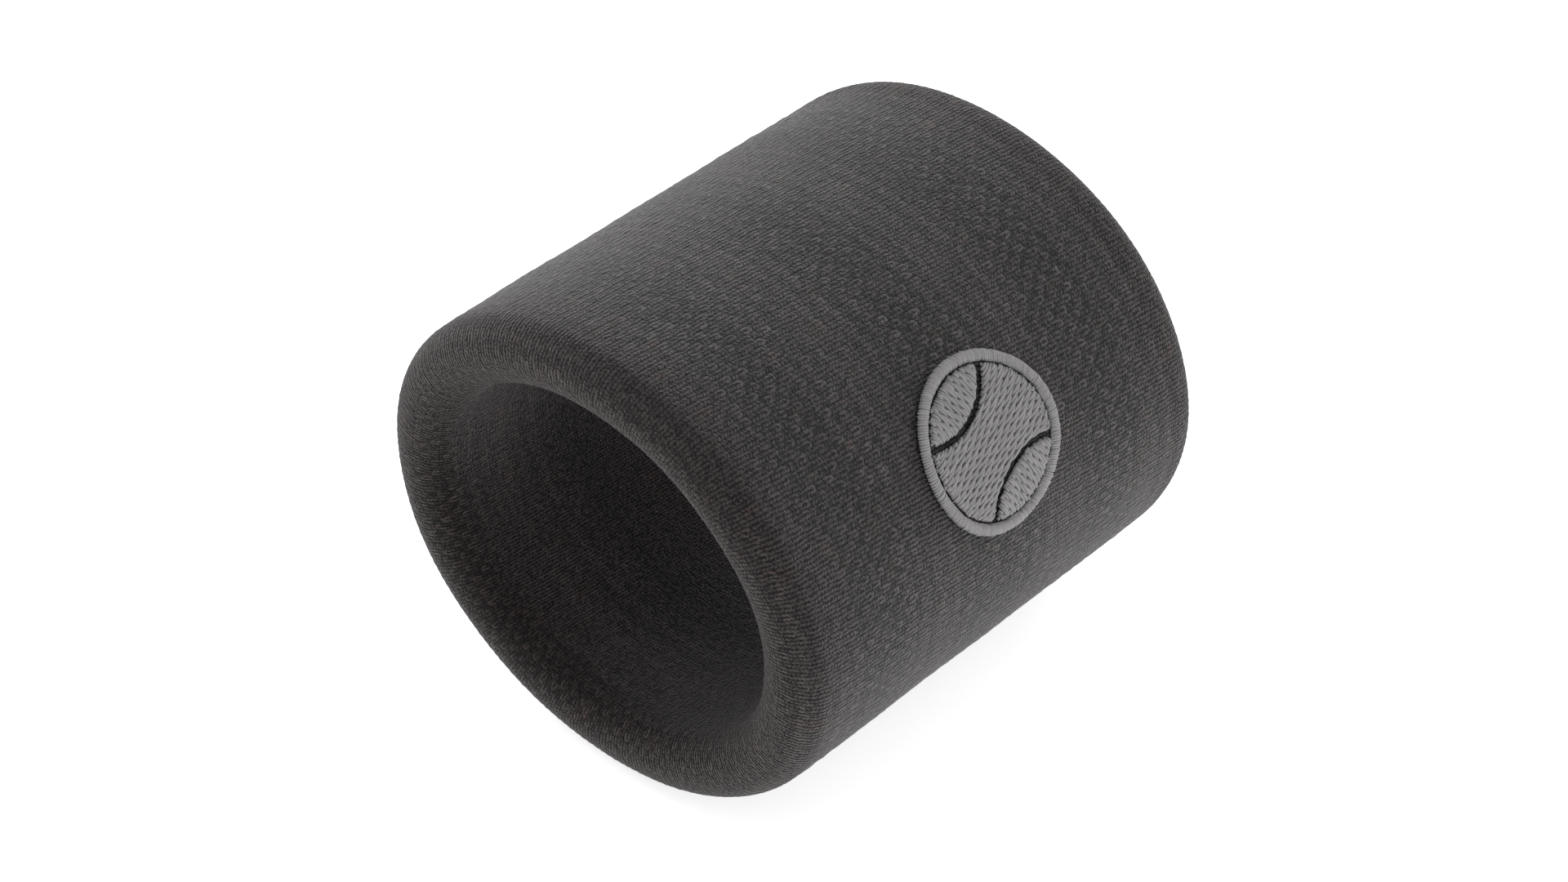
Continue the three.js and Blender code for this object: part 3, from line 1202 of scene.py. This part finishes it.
    def ground(self) -> Skin:
        """Sweeps the section round the band, with the stitches' relief on its open side.

        Returns:
            The cloth as one closed skin, with its cloth map and its baking map.
        """
        outline, rings = self.outline, len(self.outline.length) - 1
        place, leaned = self.cloth_rows()
        turn = np.arange(self.round_steps)[:, None] / self.round_steps
        turn = turn - leaned[None, :-1] / self.knit.wales
        angle = self.band.angle(turn)
        out = self.band.outward(angle, outline.radial_normal, outline.along_normal)
        points = self.band.place(angle, outline.radius[:-1], outline.along[:-1])
        open_side = ~(self.hidden() & np.roll(self.hidden(), 1))
        lift = self.swells.at(turn, outline.length[:-1]) + self.relief(place[:-1])
        points = points + out * (lift * open_side)[..., None]
        points[..., 2] = np.maximum(points[..., 2], 0.0)
        index = np.arange(self.round_steps * rings).reshape(self.round_steps, rings)
        right = np.roll(index, -1, 0)
        quads = np.stack([index, np.roll(index, -1, 1), np.roll(right, -1, 1), right], -1)
        maps = {
            CLOTH_MAP: self.corners(self.knit.wales, place),
            BAKE_MAP: self.corners(1.0, self.bake_rows()),
        }
        return Skin(points.reshape(-1, 3), quads.reshape(-1, 4), maps)

    def corners(self, whole_turn: float, rows: Array) -> Array:
        """Corner places of a map that is unrolled round the band and along the section.

        Args:
            whole_turn: the map's width.
            rows: its height at each point of the section.

        Returns:
            The corners' places in the order of the ground's faces.
        """
        step = whole_turn / self.round_steps
        flat = np.zeros((self.round_steps, len(rows) - 1))
        left = flat + np.arange(self.round_steps)[:, None] * step
        low, high = flat + rows[:-1], flat + rows[1:]
        pairs = [(left, low), (left, high), (left + step, high), (left + step, low)]
        return np.stack([np.stack(pair, -1) for pair in pairs], 2).reshape(-1, 2)

    def bake_rows(self) -> Array:
        """Heights in the baking map, which gives the closed space between the layers little.

        Returns:
            The height at each point of the section.
        """
        steps = np.diff(self.outline.length)
        steps = np.where(self.hidden(), steps * self.hidden_bake, steps)
        rows = np.concatenate([[0.0], np.cumsum(steps)])
        return self.bake_margin + (1.0 - 2.0 * self.bake_margin) * rows / rows[-1]

    def build(self) -> bpy.types.Object:
        """Builds the cloth.

        Returns:
            The piece.
        """
        finish = TerryFinish(self.knit, self.wall, self.rim)
        cloth = self.ground().build("terry_cloth", finish.material())
        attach(cloth, Body.BAND.value)
        stands_for("terry_tube")
        return cloth


@dataclass
class BallEmblem:
    """A plain embroidered ball: a satin border, and three fields parted by two curved lines.

    Its own plane touches the band's wall at its middle, with x round the band and y along it
    before the tilt. The low and high levels are a stitch's ends and middle above the wall, and the
    tail is the share of a thread's radius that is left at its ends.
    """

    band: Band
    angle: float = math.radians(29.0)
    tilt: float = math.radians(24.0)
    outer: float = 11.5 * MM
    border: float = 1.5 * MM
    clearance: float = 0.3 * MM
    line_width: float = 0.9 * MM
    line_radius: float = 10.5 * MM
    reach: float = 5.4 * MM
    low: float = 0.40 * MM
    high: float = 0.78 * MM
    thread: float = 0.20 * MM
    row: float = 0.36 * MM
    stitch: float = 3.4 * MM
    shortest: float = 0.5 * MM
    slip: float = 0.38
    most_cuts: int = 9
    samples: int = 461
    tail: float = 0.72
    over_lift: float = 0.08 * MM
    under_row: float = 0.5 * MM
    under_stitch: float = 4.0 * MM
    under_thread: float = 0.26 * MM
    under_bow: float = 0.06 * MM
    border_under: tuple[float, ...] = (0.35 * MM, 0.75 * MM, 1.15 * MM)
    border_under_stitch: float = 3.0 * MM
    border_under_thread: float = 0.28 * MM
    border_under_bow: float = 0.05 * MM
    satin_pitch: float = 0.33 * MM
    satin_slant: float = 0.16 * MM
    satin_inset: float = 0.05 * MM
    satin_sink: float = 0.02 * MM
    satin_rise: float = 0.06 * MM
    jitter: float = 0.035 * MM
    unevenness: float = 0.02 * MM
    steps: int = 7
    sides: int = 6
    table_reach: float = 1.0
    table_steps: int = 801

    def __post_init__(self) -> None:
        """Works out the emblem's frame and its table of angles against flat distance."""
        band = self.band
        self.field = self.outer - self.border - self.clearance
        self.line_offset = self.field - self.reach + self.line_radius
        out = band.outward(np.array(self.angle), 1.0, 0.0)
        across = np.array([out[2], 0.0, -out[0]])
        middle = band.place(np.array(self.angle), band.radius, 0.0)
        spread = self.angle + np.linspace(-self.table_reach, self.table_reach, self.table_steps)
        flat = (band.place(spread, band.radius + self.low, 0.0) - middle) @ across
        self.flat_table, self.angle_table = flat[::-1], spread[::-1]

    def lay(self, x: Array, y: Array, height: Array | float) -> tuple[Array, Array]:
        """Puts places of the emblem's own plane onto the band.

        Args:
            x: places across the emblem.
            y: places up it.
            height: how far they stand above the wall.

        Returns:
            The places and the outward direction at each.
        """
        across = x * math.cos(self.tilt) - y * math.sin(self.tilt)
        along = x * math.sin(self.tilt) + y * math.cos(self.tilt)
        angle = np.interp(across, self.flat_table, self.angle_table)
        places = self.band.place(angle, self.band.radius + height, along)
        return places, self.band.outward(angle, 1.0, 0.0)

    def from_line(self, x: Array, y: Array, side: float) -> Array:
        """How far places lie outside the circle of the curved line on one side."""
        return np.hypot(x - side * self.line_offset, y) - self.line_radius

    def in_left(self, x: Array, y: Array) -> Array:
        """True inside the left field."""
        return (self.from_line(x, y, -1.0) < -self.line_width / 2.0) & self.in_field(x, y)

    def in_right(self, x: Array, y: Array) -> Array:
        """True inside the right field."""
        return (self.from_line(x, y, 1.0) < -self.line_width / 2.0) & self.in_field(x, y)

    def in_middle(self, x: Array, y: Array) -> Array:
        """True inside the middle field."""
        nearer = np.minimum(self.from_line(x, y, -1.0), self.from_line(x, y, 1.0))
        return (nearer > self.line_width / 2.0) & self.in_field(x, y)

    def in_field(self, x: Array, y: Array) -> Array:
        """True inside the border."""
        return np.hypot(x, y) < self.field

    def rows(self, inside: Inside, heading: float, pitch: float, stitch: float) -> Array:
        """Straight stitches that fill a field.

        Args:
            inside: tells whether a place lies in the field.
            heading: the rows' direction.
            pitch: the distance between rows.
            stitch: a stitch's length.

        Returns:
            Each stitch's two ends in the emblem's plane, as stitch by 2 by 2.
        """
        ahead = np.array([math.cos(heading), math.sin(heading)])
        aside = np.array([-ahead[1], ahead[0]])
        sample = np.linspace(-self.outer, self.outer, self.samples)
        ends: list[tuple[Array, Array]] = []
        for number, offset in enumerate(np.arange(-self.outer + pitch / 2.0, self.outer, pitch)):
            line = sample[:, None] * ahead + offset * aside
            held = np.concatenate([[False], inside(line[:, 0], line[:, 1]), [False]])
            edges = np.flatnonzero(np.diff(held.astype(int)))
            for start, stop in zip(edges[::2], edges[1::2]):
                low, high = sample[start], sample[min(stop, len(sample)) - 1]
                if high - low < self.shortest:
                    continue
                first = (number * self.slip) % 1.0
                cuts = (np.arange(-self.most_cuts, self.most_cuts + 1) + first) * stitch
                cuts = cuts[(cuts > low + self.shortest) & (cuts < high - self.shortest)]
                stops = np.concatenate([[low], cuts, [high]])[:, None] * ahead + offset * aside
                ends.extend(zip(stops[:-1], stops[1:]))
        return np.array(ends)

    def sew(self, strands: Strands, ends: Array, heights: tuple[float, float], thread: float,
            draw: np.random.Generator) -> None:
        """Adds stitches between pairs of places, each bowed up in its middle.

        Args:
            strands: where they are added.
            ends: their ends in the emblem's plane.
            heights: the thread's height at a stitch's ends and at its middle.
            thread: the thread's radius.
            draw: the random draw.
        """
        share = np.linspace(0.0, 1.0, self.steps)
        start, stop = np.moveaxis(ends + draw.normal(0.0, self.jitter, ends.shape), 1, 0)
        flat = start[:, None] + (stop - start)[:, None] * share[:, None]
        bow = np.sin(math.pi * share) ** 0.5
        rise = heights[0] + (heights[1] - heights[0]) * bow
        height = rise[None] + draw.normal(0.0, self.unevenness, (len(ends), 1)) * bow
        paths, up = self.lay(flat[..., 0], flat[..., 1], height)
        radius = thread * (self.tail + (1.0 - self.tail) * bow)
        strands.add(paths, up, radius, draw.uniform(0.0, 1.0, len(ends)))

    def panel(self, inside: Inside, heading: float, seed: int) -> Skin:
        """One field: a flat underlay, and the close rows of stitches that cover it.

        Args:
            inside: tells whether a place lies in the field.
            heading: the covering rows' direction.
            seed: the random draw.

        Returns:
            The stitches' skin.
        """
        draw = np.random.default_rng(seed)
        strands = Strands(self.sides)
        under = self.rows(inside, heading + QUARTER_TURN, self.under_row, self.under_stitch)
        levels = (self.low, self.low + self.under_bow)
        self.sew(strands, under, levels, self.under_thread, draw)
        over = self.rows(inside, heading, self.row, self.stitch)
        self.sew(strands, over, (self.low + self.over_lift, self.high), self.thread, draw)
        return strands.skin()

    def ring(self, seed: int) -> Skin:
        """The border: rounds of underlay, and satin stitches across them.

        Args:
            seed: the random draw.

        Returns:
            The stitches' skin.
        """
        draw = np.random.default_rng(seed)
        strands = Strands(self.sides)
        inner = self.outer - self.border
        for inset in self.border_under:
            count = round(FULL_TURN * (inner + inset) / self.border_under_stitch)
            around = on_circle(np.arange(count + 1) * (FULL_TURN / count), inner + inset)
            ends = np.stack([around[:-1], around[1:]], 1)
            levels = (self.low, self.low + self.border_under_bow)
            self.sew(strands, ends, levels, self.border_under_thread, draw)
        middle = inner + self.border / 2.0
        count = round(FULL_TURN * middle / self.satin_pitch)
        turn, slant = np.arange(count) * (FULL_TURN / count), self.satin_slant / middle
        first = on_circle(turn - slant, inner + self.satin_inset)
        second = on_circle(turn + slant, self.outer - self.satin_inset)
        levels = (self.low - self.satin_sink, self.high + self.satin_rise)
        self.sew(strands, np.stack([first, second], 1), levels, self.thread, draw)
        return strands.skin()

    def build(self) -> list[bpy.types.Object]:
        """Builds the border and the three fields.

        Returns:
            The four pieces.
        """
        thread = YarnFinish(
            "pale_grey_embroidery",
            deep=(0.225, 0.218, 0.220),
            light=(0.304, 0.295, 0.298),
            fleck=(0.180, 0.175, 0.174),
            flecked=0.3,
            twist_cells=3600.0,
            roughness=0.62,
            sheen=0.15,
            specular=0.35,
        ).material()
        skins = {
            "emblem_border": self.ring(41),
            "emblem_panel_left": self.panel(self.in_left, 0.0, 42),
            "emblem_panel_middle": self.panel(self.in_middle, QUARTER_TURN, 43),
            "emblem_panel_right": self.panel(self.in_right, 0.0, 44),
        }
        pieces = []
        for node, skin in skins.items():
            piece = skin.build(node + "_stitches", thread)
            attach(piece, Body.BAND.value)
            stands_for(node)
            pieces.append(piece)
        return pieces


def on_circle(turn: Array, radius: float) -> Array:
    """Places on a circle about the origin of a plane."""
    return np.stack([np.cos(turn), np.sin(turn)], -1) * radius


@dataclass
class ClosingSeam:
    """The overlock that joins the cloth's two edges round the bore.

    A zigzag crosses the edges both ways, and a row of overlapping stitches runs along each side.
    """

    band: Band
    reach: float = 1.12 * MM
    pitch: float = 1.45 * MM
    thread: float = 0.15 * MM
    steps: int = 7
    sides: int = 6
    cross_sink: float = 0.34 * MM
    cross_lift: float = 0.10 * MM
    cross_bow: float = 0.10 * MM
    cross_jitter: float = 0.03 * MM
    edge_overlap: float = 0.06
    edge_wave: float = 0.14 * MM
    edge_sink: float = 0.16 * MM
    edge_bow: float = 0.10 * MM
    seed: int = 51

    def sew(self, strands: Strands, turn: Array, along: Array, sink: Array,
            draw: np.random.Generator) -> None:
        """Adds one row of stitches on the bore's wall.

        Args:
            strands: where they are added.
            turn: shares of a turn round the band, as stitch by step.
            along: places along the bore from the seam's middle.
            sink: how far they lie under the wall, in the seam's dip.
            draw: the random draw.
        """
        angle = self.band.angle(turn)
        paths = self.band.place(angle, self.band.bore + sink, self.band.seam_along + along)
        up = -self.band.outward(angle, 1.0, 0.0)
        strands.add(paths, up, self.thread, draw.uniform(0.0, 1.0, len(turn)))

    def build(self) -> bpy.types.Object:
        """Builds the zigzag and its two edge rows.

        Returns:
            The piece.
        """
        draw = np.random.default_rng(self.seed)
        strands = Strands(self.sides)
        girth = self.band.girth * self.band.bore / self.band.radius
        count = round(girth / self.pitch)
        number = np.arange(count)[:, None]
        share = np.linspace(0.0, 1.0, self.steps)
        bow = self.cross_bow * np.sin(math.pi * share)
        for slope, start, lift in ((1.0, 0.0, 0.0), (-1.0, 0.5, self.cross_lift)):
            turn = (number + 0.5 * share + start) / count
            jitter = draw.normal(0.0, self.cross_jitter, (count, 1))
            along = slope * self.reach * (2.0 * share - 1.0) + jitter
            self.sew(strands, turn, along, self.cross_sink - lift + bow, draw)
        turn = (number + (1.0 + 2.0 * self.edge_overlap) * share - self.edge_overlap) / count
        wave = self.edge_wave * np.sin(FULL_TURN * share)
        sink = self.edge_sink + self.edge_bow * np.cos(FULL_TURN * share)
        for edge in (-1.0, 1.0):
            self.sew(strands, turn, edge * (self.reach + wave), sink, draw)
        thread = YarnFinish(
            "black_overlock_thread",
            deep=(0.012, 0.012, 0.012),
            light=(0.045, 0.044, 0.043),
            fleck=(0.05, 0.05, 0.05),
            roughness=0.6,
            specular=0.4,
        ).material()
        piece = strands.skin().build("overlock_stitches", thread)
        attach(piece, Body.BAND.value)
        stands_for("closing_seam_thread")
        return piece


@dataclass
class CareLabel:
    """A blank satin ribbon, folded in two and sewn into the seam by both ends."""

    band: Band
    ply: float = 0.11 * MM
    between: float = 0.10 * MM
    across_steps: int = 25
    along_steps: int = 36
    fold_steps: int = 8
    lift: float = 0.42 * MM
    curl: float = 0.5 * MM
    ripple: float = 0.05 * MM
    ripples_along: float = 9.0
    ripples_across: float = 2.2
    root_bend: float = 2.0 * MM

    def path(self, length: float) -> Array:
        """The ribbon's middle line: out along the lower ply, round the fold and back.

        Args:
            length: the folded ribbon's length.

        Returns:
            Places from the root and heights from the middle plane.
        """
        half = self.between / 2.0 + self.ply / 2.0
        out = np.linspace(0.0, length - half, self.along_steps)
        turn = np.linspace(-QUARTER_TURN, QUARTER_TURN, self.fold_steps)[1:-1]
        lower = np.stack([out, np.full(len(out), -half)], -1)
        fold = np.stack([length - half + half * np.cos(turn), half * np.sin(turn)], -1)
        upper = np.stack([out[::-1], np.full(len(out), half)], -1)
        return np.concatenate([lower, fold, upper])

    def drape(self, x: Array, loop: Array, near: float, far: float) -> Array:
        """Lays the ribbon over the bore's wall, curled a little at its free end.

        Args:
            x: places across the ribbon.
            loop: its section, as place from the root and height.
            near: the root's place along the bore.
            far: the free end's place along the bore.

        Returns:
            The places, as across by along by three.
        """
        band = self.band
        wide, tall = band.bore + band.sag, band.bore - band.sag
        wall = band.centre_height - tall * np.sqrt(1.0 - (x / wide) ** 2)
        share = np.clip(loop[:, 0] / (far - near), 0.0, 1.0)
        rise = self.lift + self.curl * share ** 3
        beat = np.cos(x / x[-1] * self.ripples_across)[:, None] * np.sin(share * self.ripples_along)
        height = wall[:, None] + rise + loop[:, 1] + self.ripple * beat * share
        across = np.broadcast_to(x[:, None], height.shape)
        along = np.broadcast_to(near + loop[:, 0], height.shape)
        return np.stack([across, along, height], -1)

    def faces(self, count: int) -> Array:
        """The ribbon's quads: its two sides and ends, and a ladder of them along each edge.

        Args:
            count: points round its section.

        Returns:
            Point numbers, as quad by 4.
        """
        index = np.arange(self.across_steps * count).reshape(self.across_steps, count)
        here, beside = index[:-1], index[1:]
        corners = [here, np.roll(here, -1, 1), np.roll(beside, -1, 1), beside]
        sheet = np.stack(corners, -1).reshape(-1, 4)
        step = np.arange(count // 2 - 1)
        ladder = np.stack([step, count - 1 - step, count - 2 - step, step + 1], -1)
        return np.concatenate([sheet, index[0][ladder], index[-1][ladder[:, ::-1]]])

    def build(self) -> bpy.types.Object:
        """Builds the ribbon as a closed skin.

        Returns:
            The piece.
        """
        low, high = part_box("care_label")
        width, length = high.x - low.x, high.y - low.y
        path = self.path(length)
        ahead = unit(np.gradient(path, axis=0))
        side = np.stack([ahead[:, 1], -ahead[:, 0]], -1) * (self.ply / 2.0)
        loop = np.concatenate([path + side, (path - side)[::-1]])
        gone = walked(path)
        along = np.concatenate([gone, gone[::-1]])
        x = np.linspace(-width / 2.0, width / 2.0, self.across_steps)
        faces = self.faces(len(loop))
        spots = np.stack([np.repeat(x, len(loop)), np.tile(along, self.across_steps)], -1)
        points = self.drape(x, loop, low.y, high.y).reshape(-1, 3)
        skin = Skin(points, faces, {CLOTH_MAP: spots[faces.reshape(-1)]})
        piece = skin.build("care_ribbon", SatinRibbonFinish().material())
        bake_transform(piece)
        stands_for("care_label")
        return piece


@dataclass
class HiddenParts:
    """What the band holds between its layers: the elastic threads and the embroidery's backing."""

    nodes: Mapping[str, bpy.types.Object]

    def dress(self) -> int:
        """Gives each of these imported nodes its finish.

        Returns:
            How many were dressed.
        """
        elastic, backing = RubberThreadFinish().material(), NonWovenFinish().material()
        finishes = {
            name: backing if name == "embroidery_backing" else elastic
            for name in self.nodes
            if name == "embroidery_backing" or name.startswith("elastic_thread")
        }
        for name, finish in finishes.items():
            for slot in self.nodes[name].material_slots:
                slot.material = finish
        return len(finishes)


@dataclass(frozen=True)
class SoftBox:
    """One broad soft light, so far off that only its direction counts."""

    towards: Place
    strength: float


@dataclass
class Studio:
    """A plain floor, broad soft lights on both sides and above, and the camera.

    A light fades away from its direction as the cosine to the power of its edge.
    """

    boxes: tuple[SoftBox, ...] = (
        SoftBox((-1.0, 0.0, 0.25), 2.90),
        SoftBox((1.0, 0.0, 0.25), 1.30),
        SoftBox((0.0, 1.0, 0.25), 1.90),
        SoftBox((-1.0, 1.0, 1.0), 1.60),
        SoftBox((1.0, -1.0, 1.0), 1.25),
    )
    box_edge: float = 4.0
    ambient: float = 0.03
    floor_half: float = 3.0
    floor_drop: float = 0.05 * MM
    eye: Place = (0.2550, -0.2773, 0.3373)
    gaze: Place = (-0.527, 0.569, -0.631)
    lens: float = 85.8
    sensor: float = 36.0
    nearest: float = 0.01

    def camera(self) -> None:
        """Sets the camera."""
        data = bpy.data.cameras.new("camera")
        data.lens = self.lens
        data.sensor_width = self.sensor
        data.clip_start = self.nearest
        holder = bpy.data.objects.new("camera", data)
        holder.location = self.eye
        holder.rotation_euler = Vector(self.gaze).to_track_quat("-Z", "Y").to_euler()
        bpy.context.scene.collection.objects.link(holder)
        bpy.context.scene.camera = holder

    def floor(self) -> None:
        """Lays the floor, just under what the band rests on."""
        half, level = self.floor_half, -self.floor_drop
        corners = [(-half, -half), (half, -half), (half, half), (-half, half)]
        points = np.array([(x, y, level) for x, y in corners])
        floor = Skin(points, np.array([[0, 1, 2, 3]])).build("floor", FloorFinish().material())

    def light(self) -> None:
        """Sets the soft lights round the room."""
        world = bpy.data.worlds.new("soft_white_room")
        world.use_nodes = True
        room = Nodes(world.node_tree)
        towards = room.node("ShaderNodeTexCoord")["Generated"]
        strength: Value | float = self.ambient
        for box in self.boxes:
            direction = tuple(Vector(box.towards).normalized())
            facing = room.dot(towards, direction).at_least(0.0)
            strength = facing ** self.box_edge * box.strength + strength
        light = room.node("ShaderNodeBackground", None, {"Strength": strength})["Background"]
        room.node("ShaderNodeOutputWorld", None, {"Surface": light})
        bpy.context.scene.world = world

    def build(self) -> None:
        """Sets the camera, the floor, the light and plain tones."""
        self.camera()
        self.floor()
        self.light()
        view = bpy.context.scene.view_settings
        view.view_transform = "Standard"
        view.look = "None"


def main() -> None:
    """Builds the wristband's pieces in order and reports each."""
    logging.basicConfig(level=logging.INFO, format="%(name)s: %(message)s")
    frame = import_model()
    Studio().build()
    band = Band()
    pieces = [TerryTube(band, Knit()).build()]
    pieces += BallEmblem(band).build()
    pieces.append(ClosingSeam(band).build())
    pieces.append(CareLabel(band).build())
    log.info("%d packed nodes dressed", HiddenParts(frame["nodes"]).dress())
    for piece in pieces:
        log.info("%s: %d faces", piece.name, len(piece.data.polygons))


if __name__ == "__main__":
    main()
